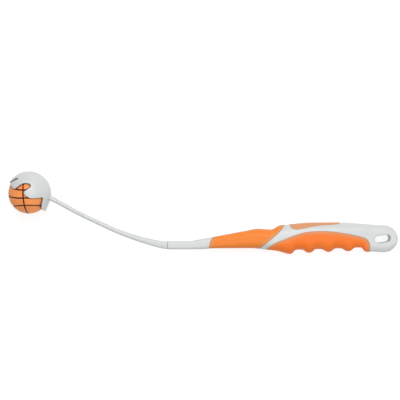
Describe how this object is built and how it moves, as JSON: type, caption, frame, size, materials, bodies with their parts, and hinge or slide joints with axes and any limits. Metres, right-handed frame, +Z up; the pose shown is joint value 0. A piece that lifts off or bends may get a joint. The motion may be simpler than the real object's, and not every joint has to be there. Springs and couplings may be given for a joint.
{
  "type": "dog ball thrower",
  "caption": "Hand-held dog ball thrower: a fingered cup with a small ball on a slim springy arm, with a moulded handle, rubber finger grips and a hanging hole.",
  "frame": {"origin": "centre of the bounding box on the surface that the thrower lies on", "axes": "+X from the cup to the handle's end, +Y towards the side that the cup stands up from, +Z up from the surface, along the ball cup's width"},
  "size_m": [0.4862, 0.1028, 0.055],
  "materials": {
    "white_plastic": "satin moulded polypropylene",
    "orange_grip": "soft matt moulded rubber",
    "ball_rubber": "pebbled rubber with dark seams"
  },
  "bodies": {
    "thrower": {"cup": "white_plastic", "arm": "white_plastic", "handle_shell_left": "white_plastic", "handle_shell_right": "white_plastic", "front_grip": "orange_grip", "finger_grip": "orange_grip", "thumb_pad": "orange_grip"},
    "ball": {"ball_half_upper": "ball_rubber", "ball_half_lower": "ball_rubber"}
  },
  "joints": [
    {"name": "ball_release", "type": "slide", "parent": "thrower", "child": "ball", "axis": [-0.3695, -0.9291, 0.0147], "range_m": [0, 0.06]}
  ]
}
